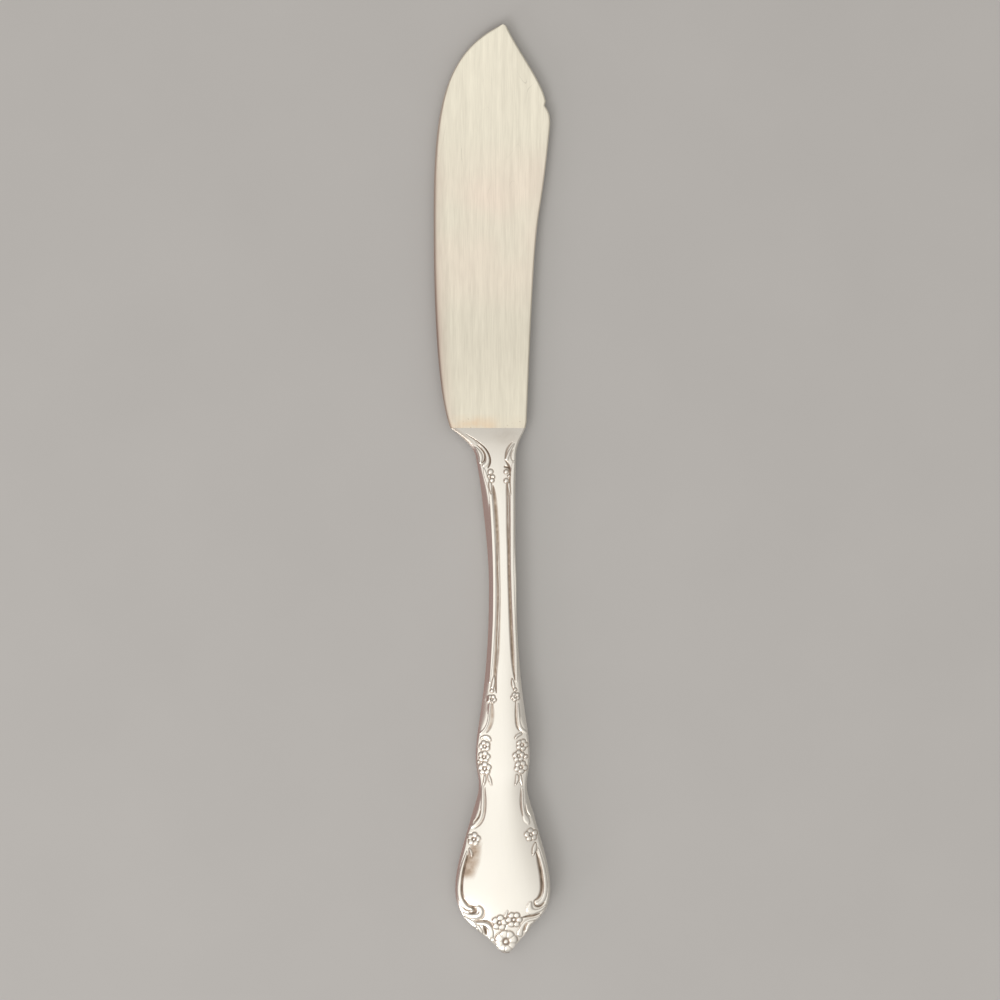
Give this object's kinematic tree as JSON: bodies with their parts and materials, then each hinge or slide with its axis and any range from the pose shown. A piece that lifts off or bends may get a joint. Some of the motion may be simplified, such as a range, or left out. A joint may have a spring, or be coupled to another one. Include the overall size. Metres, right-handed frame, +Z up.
{
  "type": "butter knife",
  "caption": "Hollow-handle butter knife: wide spreading blade with a clipped point and a notched spine, slender stem and spade-shaped end with scroll and blossom relief.",
  "frame": {"origin": "centre of the foot of the knife's bounding box, so that the lowest line of the handle lies at Z 0", "axes": "+Y along the knife from the handle's end to the blade's tip, +X across the blade from the spreading edge to the spine, +Z up out of the blade's face"},
  "size_m": [0.0216, 0.172, 0.0066],
  "materials": {
    "blade_steel": "brushed along the blade, worn and faintly scratched",
    "handle_metal": "polished, with darkened recesses in the relief",
    "solder": "dressed flush and polished",
    "cement": "matt cement"
  },
  "bodies": {
    "root": {"blade": "blade_steel", "handle_front_shell": "handle_metal", "handle_back_shell": "handle_metal", "seam_solder": "solder", "handle_filler": "cement"}
  },
  "joints": []
}
